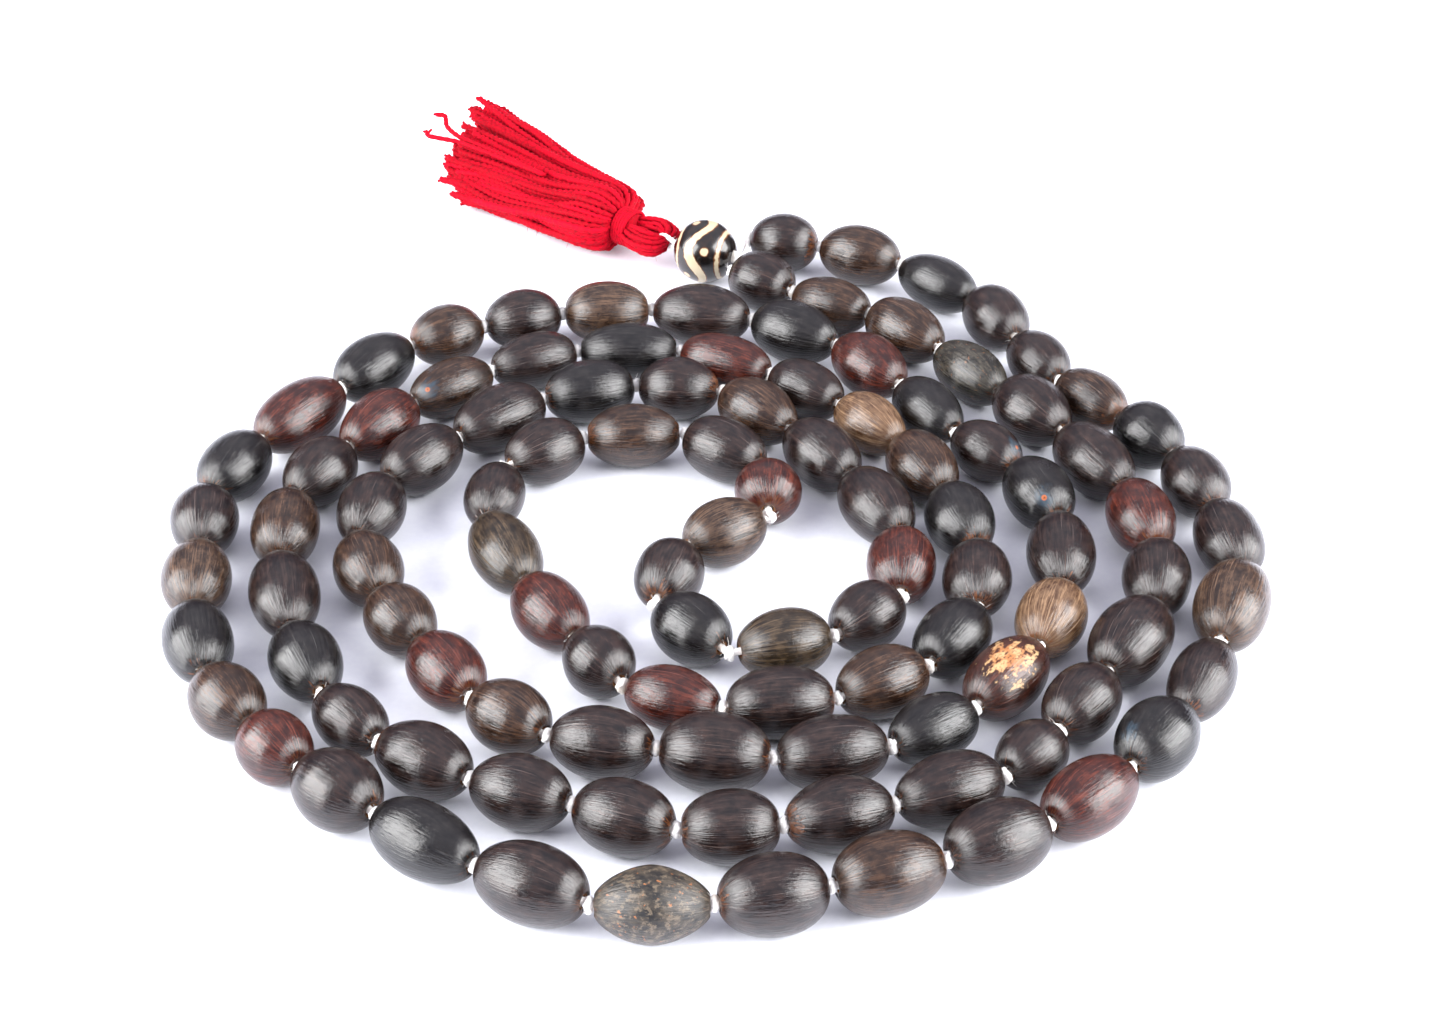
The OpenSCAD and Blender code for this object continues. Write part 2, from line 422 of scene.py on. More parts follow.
def seed_surface(seed, number, chance):
    """Each point's distance along the axis, turn about it and distance from it."""
    pointed = number == POINTED_SEED
    power = POINTED_POWER if pointed else chance.uniform(*OVAL_POWERS)
    x, r = (column[:, None] for column in seed_profile(seed, power).T)
    turn = np.linspace(0, 2 * math.pi, SEED_SIDES, endpoint=False)[None, :]
    share = x / (seed.length / 2)
    body = np.clip((r - FUNNEL_R) / (seed.radius - FUNNEL_R), 0, 1)
    # One end is slimmer, and the seed is a little flat and lumpy. It only ever shrinks.
    taper = chance.uniform(0.02, 0.13) * np.clip(chance.choice([-1, 1]) * share, 0, 1) ** 1.6
    flat = 0.015 * (1 + np.cos(2 * turn + chance.uniform(0, 6))) * chance.uniform(0.2, 1)
    lump = sum(
        0.02 / m * (1 + np.cos(m * turn + chance.uniform(0, 6) + share * chance.uniform(-2, 2)))
        for m in (3, 4, 5, 7)
    )
    r = r * (1 - body * (taper + flat + lump))
    # The funnel's rim is chipped.
    rim = np.exp(-(((r - FUNNEL_R) / 0.25) ** 2))
    chips = sum(np.cos(m * turn + chance.uniform(0, 6)) / m for m in (3, 5, 8, 13))
    x = x - np.sign(x) * rim * 0.09 * (1 + chips)
    return np.broadcast_arrays(x, turn, r)


def seed_marks(seed, number, points, chance):
    """How worn each point's end of the seed is, and how far the point is from the bloom's middle
    and from the bare patch's edge."""
    half = seed.length / 2
    ends = chance.choice([0.0, 0.08, 0.3], 2, p=[0.45, 0.35, 0.2])
    if number in WORN_ENDS:
        ends[chance.integers(2)] = 0.6
    worn = np.where(points[..., 0] > 0, ends[0], ends[1])
    tip = np.full(points.shape[:2], FAR)
    if number in BLOOMS:
        lean = chance.uniform(0.5, 0.75)
        place = np.array([half * 0.78, seed.radius * lean * 0.55, seed.radius * lean])
        place[1] *= chance.choice([-1, 1])
        tip = np.linalg.norm(points - place, axis=-1)
    patch = np.full(points.shape[:2], FAR)
    if KINDS[number - 1] == "w":
        patch = np.linalg.norm(points - [1.0, 1.0, seed.radius], axis=-1) - 2.9
    return {"worn": worn, "tip": tip, "patch": patch}


def seed_points(seed, number):
    """The seed's points in its own axes (x along the cord), and its point attributes."""
    chance = np.random.default_rng(number)
    x, turn, r = seed_surface(seed, number, chance)
    points = np.stack([x, r * np.cos(turn), r * np.sin(turn)], -1)
    # The streaks' own coordinates don't narrow towards the ends, and differ from seed to seed.
    grain = np.stack([x, 5 * np.cos(turn), 5 * np.sin(turn)], -1) + chance.uniform(-400, 400, 3)
    values = {
        "from_end": seed.length / 2 - np.abs(x),
        "in_hole": np.clip((FUNNEL_R - r) / 0.4, 0, 1),
        **seed_marks(seed, number, points, chance),
    }
    values = {name: value.ravel() for name, value in values.items()}
    return points, {"grain": grain.reshape(-1, 3), **values}


# The colours of a seed's marks
BARE_PALE = rgb(0.42, 0.27, 0.13)
BARE_RUST = rgb(0.30, 0.115, 0.035)
BARE_PIT = rgb(0.05, 0.014, 0.006)
BLOOM_BLUE = rgb(0.040, 0.070, 0.100)
BLOOM_RING = rgb(0.30, 0.075, 0.015)
BLOOM_DOT = rgb(0.012, 0.005, 0.003)
WORN_SHELL = rgb(0.14, 0.046, 0.015)
HOLE_BROWN = rgb(0.20, 0.085, 0.03)
FLECK_RUST = rgb(0.26, 0.095, 0.03)


def shell_colour(n, grain, mottle, fine, dark, light, streaks, blotch):
    """Pale streaks along a dark shell, stronger in some places, and a few hairline scratches."""
    broad = n.noise(grain, (0.10, 0.75, 0.75))
    pale = n.math("MULTIPLY", n.ramp(fine, 0.46, 0.64), n.ramp(broad, 0.34, 0.60, 0.30, 1.0))
    pale = n.math("MULTIPLY", pale, n.ramp(mottle, 0.40, 0.66, 1 - blotch, 1.0))
    middle = tuple(0.60 * a + 0.40 * b for a, b in zip(dark, light))
    colour = n.mix(n.ramp(mottle, 0.34, 0.70), dark, middle)
    colour = n.mix(n.math("MULTIPLY", pale, streaks), colour, light)
    hairline = n.noise(grain, (0.11, 4.2, 4.2), 2.0, 0.5)
    scratch = rgb(*(min(1.0, 1.5 * c + 0.03) for c in light[:3]))
    share = n.math("MULTIPLY", n.ramp(hairline, 0.66, 0.74), 0.6 * streaks)
    return n.mix(share, colour, scratch)


def add_flecks(n, colour, grain, light, flecks):
    """Crumbs of a lighter colour and of rust."""
    crumbs = n.noise(grain, (0.95, 1.2, 1.2), 6.0, 0.72)
    colour = n.mix(n.ramp(crumbs, 0.51, 0.60, 0.0, flecks), colour, light)
    rust = n.noise(grain, (1.3, 1.3, 1.3), 3.0, 0.5)
    return n.mix(n.ramp(rust, 0.64, 0.70, 0.0, flecks), colour, FLECK_RUST)


def add_bare_patch(n, colour, patch, mottle, speck):
    """A big pale worn patch, where the shell's coat is gone."""
    bare = n.mix(n.ramp(mottle, 0.38, 0.56), BARE_PALE, BARE_RUST)
    colour = n.mix(n.ramp(patch, -0.4, 0.9, 0.95, 0.0), colour, bare)
    pits = n.math("MULTIPLY", n.ramp(patch, 0.0, 1.6, 1.0, 0.0), n.ramp(speck, 0.54, 0.62))
    return n.mix(pits, colour, BARE_PIT)


def add_bloom(n, colour, mottle):
    """A bluish bloom round the seed's own tip, with an orange ring in its middle."""
    tip = n.attribute("tip")
    wavy = n.math("ADD", tip, n.linear(mottle, 0.3, 0.7, -0.9, 0.9))
    colour = n.mix(n.ramp(wavy, 0.4, 2.2, 0.5, 0.0), colour, BLOOM_BLUE)
    colour = n.mix(n.ramp(tip, 0.34, 0.54, 0.9, 0.0), colour, BLOOM_RING)
    return n.mix(n.ramp(tip, 0.14, 0.28, 1.0, 0.0), colour, BLOOM_DOT)


def add_worn_ends(n, colour, mottle, speck):
    """Worn orange-brown shell round the drilled ends, and a paler brown in the holes."""
    worn = n.math("MULTIPLY", n.attribute("worn"), 2.0)
    edge = n.math("SUBTRACT", n.attribute("from_end"), worn)
    edge = n.math("ADD", edge, n.linear(speck, 0.3, 0.7, -0.3, 0.9))
    edge = n.math("ADD", edge, n.linear(mottle, 0.3, 0.7, -0.9, 1.1))
    colour = n.mix(n.linear(edge, -0.7, 0.30, 0.75, 0.0), colour, WORN_SHELL)
    return n.mix(n.ramp(n.attribute("in_hole"), 0.1, 0.6), colour, HOLE_BROWN)


def seed_material(name, dark, light, streaks, blotch, gloss, flecks=0.0):
    """A lotus seed's polished shell: streaks that run along it, mottling, wear and a worn rim."""
    n = new_material(name)
    grain = n.attribute("grain", "Vector")
    fine = n.noise(grain, (0.20, 3.1, 3.1), 5.0, 0.68)
    mottle = n.noise(grain, (0.55, 0.8, 0.8), 5.0, 0.65)
    speck = n.noise(grain, (2.2, 3.2, 3.2))
    ribs = n.noise(grain, (0.15, 3.2, 3.2), 3.0, 0.7)
    patch = n.math("ADD", n.attribute("patch"), n.linear(mottle, 0.25, 0.75, -3.4, 3.4))
    colour = shell_colour(n, grain, mottle, fine, dark, light, streaks, blotch)
    if flecks:
        colour = add_flecks(n, colour, grain, light, flecks)
    colour = add_bare_patch(n, colour, patch, mottle, speck)
    colour = add_bloom(n, colour, mottle)
    colour = add_worn_ends(n, colour, mottle, speck)
    rough = n.linear(fine, 0.3, 0.75, gloss, gloss + 0.09)
    rough = n.math("ADD", rough, n.ramp(patch, -0.2, 0.8, 0.15, 0.0))
    height = n.math("ADD", ribs, n.math("MULTIPLY", speck, 0.12))
    normal = n.bump(height, 0.105, 1.0, n.bump(mottle, 0.15, 0.5))
    return n.finish(Base_Color=colour, Roughness=rough, Normal=normal, Specular_IOR_Level=0.55)


# For each kind: name, dark and light colour, strength of the streaks, blotches, roughness where
# it is glossiest, and flecks
SEED_MATERIALS = {
    "k": seed_material("seed_black", rgb(0.0007, 0.0006, 0.0009), rgb(0.017, 0.015, 0.014),
                       0.80, 0.5, 0.11),
    "d": seed_material("seed_dark", rgb(0.0020, 0.0008, 0.0010), rgb(0.036, 0.020, 0.016),
                       0.85, 0.5, 0.11),
    "b": seed_material("seed_brown", rgb(0.0058, 0.0022, 0.0012), rgb(0.074, 0.038, 0.022),
                       0.85, 0.5, 0.12),
    "s": seed_material("seed_streaked", rgb(0.0090, 0.0042, 0.0026), rgb(0.115, 0.066, 0.040),
                       0.85, 0.35, 0.14),
    "r": seed_material("seed_red", rgb(0.0100, 0.0016, 0.0014), rgb(0.110, 0.024, 0.013),
                       0.75, 0.5, 0.11),
    "o": seed_material("seed_olive", rgb(0.0060, 0.0038, 0.0020), rgb(0.082, 0.054, 0.031),
                       0.85, 0.3, 0.13),
    "t": seed_material("seed_tan", rgb(0.045, 0.020, 0.009), rgb(0.25, 0.152, 0.086),
                       0.90, 0.3, 0.16),
    "m": seed_material("seed_mottled", rgb(0.0012, 0.0015, 0.0021), rgb(0.115, 0.088, 0.060),
                       0.10, 1.0, 0.34, 0.80),
    "w": seed_material("seed_worn", rgb(0.008, 0.0020, 0.0015), rgb(0.085, 0.026, 0.015),
                       0.65, 0.6, 0.17),
    "g": seed_material("seed_grey", rgb(0.0030, 0.0032, 0.0029), rgb(0.068, 0.058, 0.043),
                       0.65, 0.8, 0.17, 0.30),
}


def add_seeds():
    for number, (seed, node) in enumerate(STRING, 1):
        points, values = seed_points(seed, number)
        turned = points @ np.array([seed.axis, np.cross(UP, seed.axis), UP])
        shape = Shape()
        shape.add((turned + seed.middle).reshape(-1, 3),
                  ring_faces(len(points), SEED_SIDES, capped=False), **values)
        body = f"seed_{node[-3:]}" if node.startswith("seed_bead_") else "strand"
        shape.make(f"seed_{number:03d}", body, "lotus_seed",
                   SEED_MATERIALS[KINDS[number - 1]], [node])


# ---- Cord and knots ----

CORD_R = 0.58
CORD_SIDES = 12
CORD_PLIES = {"lobes": 3, "lay": 2.6}
TIE_R = 0.50
TIE_PLIES = {"lobes": 3, "lay": 2.2, "groove": 0.28}
TWIST_R = 1.12  # both ends of the cord, twisted together through the guru bead
TWIST_PLIES = {"lobes": 2, "lay": 5.0, "groove": 0.35}
KNOT_SIZES = (0.94, 1.10)
BIG_KNOT, BIG_KNOT_SIZE = 96, 1.3
END_KNOT_SIZE = 0.95
COLLAR_KNOT_SIZE = 1.02
COLLAR_GAP = 1.45  # from the guru bead to the middle of the collar knot


def cotton_material():
    """White cotton, a little soiled in places."""
    n = new_material("cotton_cord")
    place = n.node("ShaderNodeTexCoord").outputs["Object"]
    fibres = n.noise(place, 2600.0)
    soiled = n.noise(place, 240.0)
    tone = n.mix(n.ramp(soiled, 0.50, 0.75, 0.0, 0.5), rgb(0.88, 0.87, 0.85),
                 rgb(0.62, 0.50, 0.34))
    tone = n.mix(n.ramp(fibres, 0.30, 0.50, 0.30, 0.0), tone, rgb(0.50, 0.45, 0.40))
    return n.finish(Base_Color=tone, Roughness=n.ramp(fibres, 0.3, 0.7, 0.78, 0.95),
                    Normal=n.bump(fibres, 0.08, 0.8), Sheen_Weight=0.35, Sheen_Roughness=0.5)


COTTON = cotton_material()


def stray_fibres(shape, middle, radius, count, reach, thick=0.028, values=None):
    """Thin curved fibres that stand out from a tuft."""
    for _ in range(count):
        way = unit(rng.normal(size=3) * [1, 1, 0.8])
        bend = unit(rng.normal(size=3))
        root = middle + way * radius * 0.8
        length = reach * rng.uniform(0.4, 1.0)
        t = np.linspace(0, 1, 6)[:, None]
        path = root + way * length * t + bend * length * 0.6 * t**2
        path[:, 2] = np.maximum(path[:, 2], 0.1)
        shape.add_tube(path, np.linspace(thick, thick * 0.5, 6), 4, values=values)


def add_knot(shape, middle, way, size, fibres=16):
    """A small overhand knot in the cord, pulled tight between two seeds and fuzzy."""
    # The cord follows a trefoil, seen along the way of the strand.
    across = unit(np.cross(way, UP))
    over = np.cross(across, way)
    t = np.linspace(0, 2 * math.pi, 60)
    start = rng.uniform(0, 2 * math.pi)
    ply_r = 0.40 * size
    reach = (1.24 * size - ply_r) / 3
    a = reach * (np.sin(t) + 2 * np.sin(2 * t))
    b = reach * (np.cos(t) - 2 * np.cos(2 * t))
    c = -0.30 * size * np.sin(3 * t)
    a, b = a * math.cos(start) - b * math.sin(start), a * math.sin(start) + b * math.cos(start)
    path = middle + a[:, None] * across + b[:, None] * over + c[:, None] * way
    path += rng.normal(size=3) * 0.05
    shape.add_tube(path, ply_r, 10, lobes=3, lay=1.6, groove=0.3, phase=start)
    # A round core fills the trefoil's middle.
    share = np.linspace(-1, 1, 11)
    core = middle + way * 0.66 * share[:, None] * size
    shape.add_tube(core, 1.08 * size * np.sqrt(np.maximum(1 - share**2, 0.2)), 14)
    stray_fibres(shape, middle, 1.15 * size, fibres, 0.9 * size)


def cord_run(seeds_from, seeds_to):
    """The cord's line through a run of seeds, from the knot before to the knot after."""
    line = [KNOTS[seeds_from - 1]]
    for i in range(seeds_from, seeds_to + 1):
        seed = SEEDS[i - 1]
        line += [seed.end(-1) + seed.axis * 0.9, seed.end(1) - seed.axis * 0.9, KNOTS[i]]
    path = [line[0]]
    for a, b in zip(line, line[1:]):
        n = max(1, int(np.linalg.norm(b - a) / 0.7))
        path += [a + (b - a) * k / n for k in range(1, n + 1)]
    return np.array(path)


def knot_way(k):
    """The direction of the cord at knot k."""
    before, after = SEEDS[max(0, k - 1)], SEEDS[min(COUNT - 1, k)]
    return unit(before.axis + after.axis)


def add_cord(shape, path, radius=CORD_R):
    shape.add_tube(path, radius, CORD_SIDES, **CORD_PLIES)


def add_strand_cord():
    """The strand's cord in two halves, which meet inside the middle knot."""
    half = COUNT // 2
    for part, knots in enumerate((range(2, half + 1), range(half + 1, COUNT - 1)), 1):
        shape = Shape()
        add_cord(shape, cord_run(max(3, knots[0]), knots[-1]))
        for k in knots:
            size = BIG_KNOT_SIZE if k == BIG_KNOT else rng.uniform(*KNOT_SIZES)
            add_knot(shape, KNOTS[k], knot_way(k), size)
        shape.make(f"strand_cord_fibres_{part}", "strand", "cotton_cord", COTTON,
                   ["strand_cord"])


def add_lift_cord():
    """The cord through the second seed from each end, with its knots."""
    shape = Shape()
    for i in (2, COUNT - 1):
        add_cord(shape, cord_run(i, i))
    for k in (1, COUNT - 1):
        add_knot(shape, KNOTS[k], knot_way(k), END_KNOT_SIZE)
    shape.make("lift_cord_fibres", "lift", "cotton_cord", COTTON, ["lift_cord"])


def add_head_cord():
    """Both ends of the cord: they meet in the collar knot and go through the guru bead."""
    shape = Shape()
    collar = GURU - GURU_AXIS * (GURU_R + COLLAR_GAP)
    for i, k in ((1, 0), (COUNT, COUNT)):
        add_cord(shape, cord_run(i, i))
        add_knot(shape, KNOTS[k], knot_way(k), END_KNOT_SIZE)
        sag = (KNOTS[k] + collar) / 2 - UP * 0.4
        add_cord(shape, spline([KNOTS[k], sag, collar], 0.5), CORD_R * 0.95)
    add_knot(shape, collar, GURU_AXIS, COLLAR_KNOT_SIZE, 20)
    end = MOUTH - GURU_AXIS * 0.4
    through = np.linspace(0, 1, 24)[:, None] * (end - collar) + collar
    shape.add_tube(through, TWIST_R, 14, **TWIST_PLIES)
    shape.make("head_cord_fibres", "head", "cotton_cord", COTTON, ["head_cord"])


def add_tie():
    """The tie comes out of the guru bead, goes round the tassel's yarns and back."""
    shape = Shape()
    # Half the loop, from the guru bead: (distance past the hinge, height)
    half = [(-3.6, 0.35), (-2.6, 0.60), (-1.6, 0.90), (-0.8, 0.95), (0.0, 0.60), (0.3, 0.0)]
    line = half + [(reach, -height) for reach, height in half[-2::-1]]
    loop = spline([TIE + HEAD_WAY * reach + UP * height for reach, height in line], 0.25)
    shape.add_tube(loop, TIE_R, CORD_SIDES, **TIE_PLIES)
    stray_fibres(shape, TIE - HEAD_WAY * 1.6, 0.9, 12, 1.1)
    shape.make("tie_loop_fibres", "tie", "cotton_cord", COTTON, ["tie_loop"])


# ---- Guru bead ----

GURU_BORE_R = 1.25
GURU_SIDES = 180
WAVES = 3
WAVE_HEIGHT = 1.25
WAVE_HALF_WIDTH = 0.68
RING_HEIGHT, RING_HALF_WIDTH = 3.7, 0.20
DROP_HEIGHT, DROP_R = 1.55, 0.62


def guru_pattern(points):
    """Distance in mm from each point to a generic pattern of a wave, rings and drops."""
    r = np.linalg.norm(points, axis=1)
    height = points[:, 0]
    turn = np.arctan2(points[:, 2], points[:, 1])
    slope = WAVES * WAVE_HEIGHT / 5 * np.cos(WAVES * turn)
    wave = np.abs(height - WAVE_HEIGHT * np.sin(WAVES * turn)) / np.sqrt(1 + slope**2)
    wave = wave - WAVE_HALF_WIDTH - 0.18 * np.sin(WAVES * turn + 1.2)
    rings = np.abs(np.abs(height) - RING_HEIGHT) - RING_HALF_WIDTH
    pattern = np.minimum(wave, rings)
    # A drop in each crest and each trough of the wave
    for k in range(2 * WAVES):
        middle = (k + 0.5) * math.pi / WAVES
        level = -DROP_HEIGHT * np.sign(math.sin(WAVES * middle))
        spot = unit(np.array([level, 5 * math.cos(middle), 5 * math.sin(middle)])) * r.mean()
        pattern = np.minimum(pattern, np.linalg.norm(points - spot, axis=1) - DROP_R)
    return pattern


def guru_material():
    """Near-black dyed bone with a cream pattern, which has brown edges."""
    n = new_material("dyed_bone")
    place = n.node("ShaderNodeTexCoord").outputs["Object"]
    ragged = n.noise(place, 1500.0)
    grain = n.noise(place, (900.0, 900.0, 260.0), 4.0)
    line = n.math("ADD", n.attribute("pattern"), n.linear(ragged, 0.3, 0.7, -0.10, 0.10))
    colour = n.mix(n.ramp(grain, 0.4, 0.75), rgb(0.003, 0.002, 0.002), rgb(0.016, 0.008, 0.005))
    colour = n.mix(n.ramp(line, 0.10, 0.30, 1.0, 0.0), colour, rgb(0.12, 0.040, 0.010))
    colour = n.mix(n.ramp(line, -0.02, 0.12, 1.0, 0.0), colour, rgb(0.42, 0.35, 0.23))
    rough = n.ramp(line, 0.0, 0.2, 0.34, 0.20)
    etched = n.bump(n.ramp(line, -0.05, 0.15), 0.10, 0.7, n.bump(grain, 0.03, 0.4))
    return n.finish(Base_Color=colour, Roughness=rough, Normal=etched, Coat_Weight=0.3,
                    Coat_Roughness=0.12)


def add_guru():
    """A ball with rounded hole edges, a little uneven, which only ever shrinks."""
    first = math.asin((GURU_BORE_R + 0.12) / GURU_R)
    t = np.linspace(first, math.pi - first, 120)
    end = GURU_R * math.cos(first)
    hole = np.array([(3.0 - end, GURU_BORE_R), (0.5 - end, GURU_BORE_R),
                     (0.06 - end, GURU_BORE_R + 0.03)])
    outside = np.column_stack([-GURU_R * np.cos(t), GURU_R * np.sin(t)])
    profile = np.vstack([hole, outside, (hole * [-1, 1])[::-1]])
    turn = np.linspace(0, 2 * math.pi, GURU_SIDES, endpoint=False)
    uneven = 1 - 0.006 * (1 + np.cos(2 * turn + 0.7)) - 0.003 * (1 + np.cos(5 * turn))
    ring = np.stack([0 * turn, np.cos(turn) * uneven, np.sin(turn) * uneven], -1)
    points = (profile[:, :1, None] * [1.0, 0, 0] + profile[:, 1:, None] * ring).reshape(-1, 3)
    shape = Shape()
    shape.add(points @ np.array([GURU_AXIS, np.cross(UP, GURU_AXIS), UP]) + GURU,
              ring_faces(len(profile), GURU_SIDES, capped=False), pattern=guru_pattern(points))
    shape.make("guru_bead_bone", "guru", "dyed_bone", guru_material(), ["guru_bead"])


# ---- Tassel ----

GOLDEN_TURN = 2.399963  # radians; spreads yarns evenly over a bundle's cross-section
HEAD_YARNS = 24
HEAD_YARN_R = 0.44
HEAD_BUNDLE_R = 1.55
BINDING_R = 0.41
BINDING_LENGTH = 3.3
BINDING_WRAPS = 4.7
BINDING_SHIFT = 0.9  # towards the guru bead, from the CAD node's middle
YARN_R = 0.68
YARN_COUNT = 124
YARN_GROOVE = 0.38
SKIRT_TURN = 135
LOCKS = 12
LOOSE_YARN_LOCK = 5
# Two loose yarns beyond the tips: (distance along the skirt, distance across it)
LOOSE_YARNS = (
    ((40.0, 0.5), (44.0, 0.2), (48.5, 1.2), (52.0, 3.6), (53.6, 2.8)),
    ((40.0, -0.8), (43.5, -1.6), (46.6, -3.0), (48.4, -3.6), (49.4, -2.9)),
)


def yarn_material():
    """Red cotton yarn, darker or lighter from yarn to yarn, with painted crease shade: dark red
    specks from fibre noise.
    """
    n = new_material("red_yarn")
    place = n.node("ShaderNodeTexCoord").outputs["Object"]
    fibres = n.noise(place, 1500.0, 4.0, 0.65)
    colour = n.mix(n.attribute("tone"), rgb(0.27, 0.0003, 0.0065), rgb(0.46, 0.0006, 0.013))
    # Painted shade: dark red where the fibre noise is low stands in for the shade in the yarn's
    # creases.
    colour = n.mix(n.ramp(fibres, 0.35, 0.55, 0.55, 0.0), colour, rgb(0.11, 0.0002, 0.003))
    colour = n.mix(n.ramp(fibres, 0.60, 0.80, 0.0, 0.40), colour, rgb(0.60, 0.004, 0.022))
    return n.finish(Base_Color=colour, Roughness=n.ramp(fibres, 0.3, 0.7, 0.62, 0.85),
                    Normal=n.bump(fibres, 0.10, 0.8), Sheen_Weight=0.08, Sheen_Roughness=0.4,
                    Sheen_Tint=rgb(1.0, 0.08, 0.12), Specular_IOR_Level=0.08)


RED_YARN = yarn_material()


def add_head_loop():
    """The folded yarns: two fat lobes beside the tie cord, drawn together into the binding."""
    shape = Shape()
    # Half the loop: (distance past the hinge, distance across, width of the bundle)
    half = [(7.8, -1.0, 0.80), (5.8, -1.5, 1.05), (3.8, -2.2, 1.30), (1.7, -2.5, 1.38),
            (-0.2, -2.0, 1.22), (-0.9, -0.9, 0.80), (-0.9, 0.0, 0.55)]
    line = half + [(reach, -wide, bundle) for reach, wide, bundle in half[-2::-1]]
    for j in range(HEAD_YARNS):
        turn = 2.4 * j
        q = HEAD_BUNDLE_R * math.sqrt((j + 0.5) / HEAD_YARNS)
        path = []
        for reach, wide, bundle in line:
            lobe = unit(np.array([reach - 2.6, wide * 1.4])) * q * math.cos(turn) * bundle
            place = TIE + HEAD_WAY * (reach + lobe[0]) + TIE_AXIS * (wide + lobe[1])
            path.append(place + UP * q * math.sin(turn) * bundle * 1.05)
        path = spline(np.array(path) + rng.normal(scale=0.08, size=(len(path), 3)), 0.35)
        shape.add_tube(path, HEAD_YARN_R, 12, lobes=2, lay=2.4, groove=0.3,
                       phase=rng.uniform(0, 6), values={"tone": rng.uniform(0.2, 1.0)})
    stray_fibres(shape, TIE + HEAD_WAY * 2, 3.4, 26, 1.5, values={"tone": 0.8})
    shape.make("tassel_head_yarns", "tassel", "red_yarn", RED_YARN, ["tassel_loop"])


def add_binding():
    """One yarn wound round the neck. Returns the middle of the end where the skirt comes out."""
    low, high = (np.array(corner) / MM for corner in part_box("tassel_binding"))
    middle = (low + high) / 2 - HEAD_WAY * BINDING_SHIFT
    radius = (high[2] - low[2]) / 2
    t = np.linspace(0, 1, 260)[:, None]
    turn = 2 * math.pi * BINDING_WRAPS * t
    r = radius - 0.42 + 0.06 * np.sin(3.1 * turn)
    winding = r * (np.cos(turn) * TIE_AXIS + np.sin(turn) * UP)
    path = middle + HEAD_WAY * (t - 0.5) * (BINDING_LENGTH - 0.7) + winding
    shape = Shape()
    shape.add_tube(path, BINDING_R, 10, lobes=3, lay=1.9, groove=0.25, values={"tone": 0.75})
    core = middle + HEAD_WAY * np.linspace(-0.5, 0.5, 9)[:, None] * BINDING_LENGTH
    shape.add_tube(core, radius - 0.75, 28, values={"tone": 0.2})
    stray_fibres(shape, middle, radius, 24, 1.2, values={"tone": 0.8})
    shape.make("tassel_binding_yarn", "tassel", "red_yarn", RED_YARN, ["tassel_binding"])
    return middle + HEAD_WAY * BINDING_LENGTH / 2


def frayed_end(shape, tip, way, tone):
    """The blunt cut end of a yarn, where its plies come a little apart."""
    for _ in range(4):
        out = unit(way + rng.normal(size=3) * [0.25, 0.25, 0.15])
        length = rng.uniform(0.5, 1.3)
        t = np.linspace(0, 1, 6)[:, None]
        path = tip - way * 0.5 + out * length * t + rng.normal(size=3) * 0.25 * t**2
        path[:, 2] = np.maximum(path[:, 2], 0.3)
        shape.add_tube(path, np.linspace(0.36, 0.24, 6), 6, values={"tone": tone})


def skirt_path(start, u, v, centre, sway):
    """A yarn's path from inside the binding to its tip. It lies at (u, v) in the round bundle:
    u across and v up, each from -1 to 1. Its lock's middle is at u = centre."""
    way, side = compass(SKIRT_TURN), compass(SKIRT_TURN - 90)
    outer = math.hypot(u, v)
    spread = 0.65 * u + 0.35 * centre
    length = 43.0 + 12.5 * u + 1.0 * u**2 + 1.7 * sway[0] + rng.normal()
    path = [
        start - HEAD_WAY * 3.0 + TIE_AXIS * u * 1.9 + UP * v * 1.9,
        start + TIE_AXIS * u * 2.5 + UP * v * 2.4,
        start + HEAD_WAY * (1.0 + 1.5 * (1 - outer)) + TIE_AXIS * u * 6.6 + UP * v * 4.5,
        start + way * (6.0 + 1.8 * (1 - outer)) + side * u * 9.1 + UP * (v * 4.8 - 0.2),
    ]
    # From there it sinks to the table: the share of its length, and the bundle's top and bottom
    for share, high, low in ((0.4, 8.2, 1.0), (0.7, 6.4, 0.8), (1.0, 4.6, 0.65)):
        reach = length * share
        wide = 8.4 + (0.25 if u > 0 else 0.11) * (reach - 8)
        across = spread * wide + 0.7 * sway[1] * share**2
        place = start + way * reach + side * across
        place[2] = low + (high - low) * (v + 1) / 2 * rng.uniform(0.75, 1)
        path.append(place)
    wander = rng.normal(size=(7, 3)) * np.array([0, 0, 0.1, 0.25, 0.45, 0.6, 0.8])[:, None]
    return spline(np.array(path) + wander * [1, 1, 0.4], 0.45)


def add_yarn(shape, path):
    """One yarn of the skirt, with its frayed tip and stray fibres. It rests on the table."""
    s = along(path)
    thick = YARN_R * rng.uniform(0.9, 1.15) * np.interp(s, [0, 4, 9], [0.55, 0.75, 1.0])
    thick = thick * (1 + 0.05 * rng.normal(size=len(s)))
    path[:, 2] = np.maximum(path[:, 2], thick)
    tone = rng.uniform(0.0, 1.0)
    shape.add_tube(path, thick, 12, lobes=2, lay=rng.uniform(2.3, 3.0), groove=YARN_GROOVE,
                   phase=rng.uniform(0, 6), values={"tone": tone})
    frayed_end(shape, path[-1], unit(path[-1] - path[-4]), tone)
    for k in rng.integers(14, len(path) - 2, 14):
        stray_fibres(shape, path[k], thick[k], 1, 1.3, 0.03, values={"tone": tone})


def add_loose_yarns(shape, start):
    """Two loose yarns that curl apart beyond the tips."""
    way, side = compass(SKIRT_TURN), compass(SKIRT_TURN - 90)
    for bends in LOOSE_YARNS:
        line = [start + way * reach + side * across + UP * 0.55 for reach, across in bends]
        path = spline([start + way * 20 + UP * 2.0, *line], 0.5)
        shape.add_tube(path, 0.50, 10, lobes=2, lay=3.0, groove=0.35, values={"tone": 0.7})
        frayed_end(shape, path[-1], unit(path[-1] - path[-3]), 0.7)


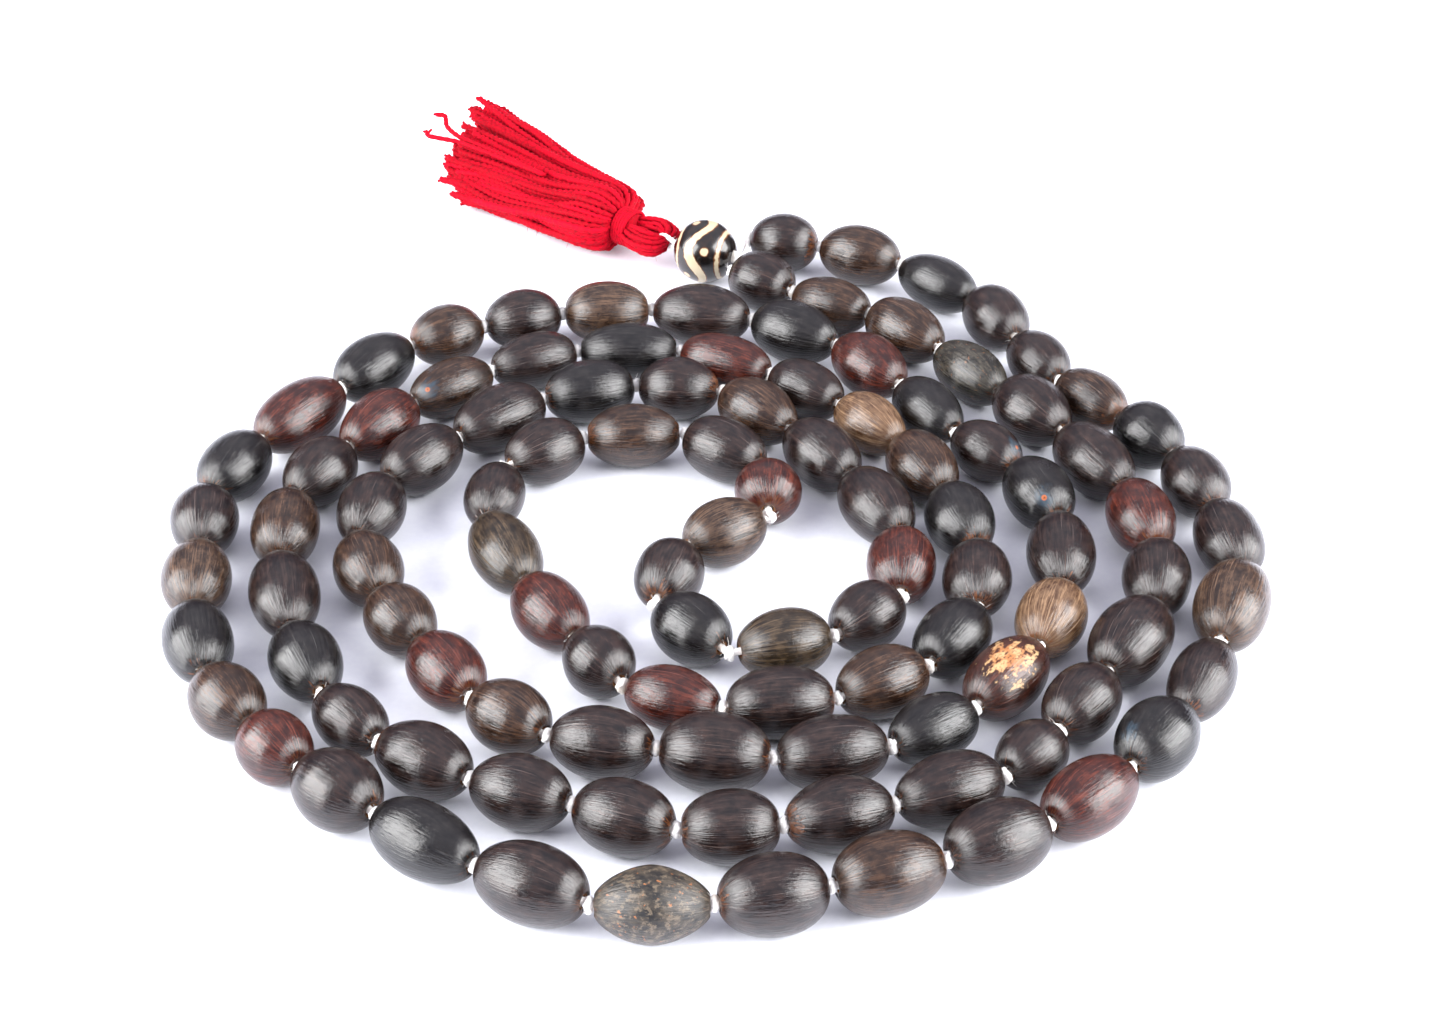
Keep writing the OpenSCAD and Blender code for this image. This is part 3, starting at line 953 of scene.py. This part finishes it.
def add_skirt(start):
    """Soft yarns that bulge out of the binding and lie side by side, in locks, to ragged tips."""
    locks = [Shape() for _ in range(LOCKS)]
    sway = rng.normal(size=(LOCKS, 2))
    for j in range(YARN_COUNT):
        q = math.sqrt((j + 0.5) / YARN_COUNT)
        u, v = q * math.cos(GOLDEN_TURN * j), q * math.sin(GOLDEN_TURN * j)
        lock = min(LOCKS - 1, int((u + 1) / 2 * LOCKS))
        centre = (lock + 0.5) / LOCKS * 2 - 1
        add_yarn(locks[lock], skirt_path(start, u, v, centre, sway[lock]))
    add_loose_yarns(locks[LOOSE_YARN_LOCK], start)
    for number, shape in enumerate(locks, 1):
        shape.make(f"tassel_skirt_lock_{number:02d}", "tassel", "red_yarn", RED_YARN,
                   ["tassel_skirt"])


# ---- Stage ----

FLOOR_REACH = 9.0  # metres, each way from the middle
BOX_PLACE = (0.66, -0.22, 0.36)  # metres; the other softbox mirrors it
BOX_TARGET = (0, -0.02, 0.02)
BOX_SIZE = (0.82, 0.64)
BOX_POWER = 21.0
SKY_LOW, SKY_HIGH = 0.05, 0.85  # the heights between which the sky brightens
SKY_DIM, SKY_BRIGHT = rgb(0.16, 0.13, 0.17), rgb(1.12, 1.10, 1.24)


def add_softbox(name, side):
    lamp = bpy.data.lights.new(name, "AREA")
    lamp.shape = "RECTANGLE"
    lamp.size, lamp.size_y = BOX_SIZE
    lamp.energy = BOX_POWER
    obj = bpy.data.objects.new(name, lamp)
    obj.location = Vector(BOX_PLACE) * Vector((side, 1, 1))
    way = Vector(BOX_TARGET) - obj.location
    obj.rotation_euler = way.to_track_quat("-Z", "Y").to_euler()
    bpy.context.scene.collection.objects.link(obj)


def add_floor():
    reach = FLOOR_REACH
    mesh = bpy.data.meshes.new("floor")
    corners = [(-reach, -reach, 0), (reach, -reach, 0), (reach, reach, 0), (-reach, reach, 0)]
    mesh.from_pydata(corners, [], [(0, 1, 2, 3)])
    n = new_material("floor_paper")
    tooth = n.noise(n.node("ShaderNodeTexCoord").outputs["Object"], 900.0)
    tone = n.mix(n.ramp(tooth, 0.3, 0.7), rgb(0.83, 0.85, 0.93), rgb(0.86, 0.88, 0.95))
    mesh.materials.append(n.finish(Base_Color=tone, Roughness=0.7))
    floor = bpy.data.objects.new("floor", mesh)
    bpy.context.scene.collection.objects.link(floor)


def add_world():
    """A soft sky that is dim at the horizon and bright above."""
    n = Nodes(bpy.data.worlds.new("studio"), "Background")
    way = n.node("ShaderNodeTexCoord").outputs["Generated"]
    up = n.node("ShaderNodeSeparateXYZ", {0: way}).outputs["Z"]
    bpy.context.scene.world = n.finish(Color=n.mix(n.ramp(up, SKY_LOW, SKY_HIGH), SKY_DIM,
                                                   SKY_BRIGHT))


add_camera()
add_seeds()
add_strand_cord()
add_lift_cord()
add_head_cord()
add_tie()
add_guru()
add_head_loop()
add_skirt(add_binding())
add_floor()
add_softbox("box_left", -1)
add_softbox("box_right", 1)
add_world()
bpy.context.scene.view_settings.view_transform = "Standard"
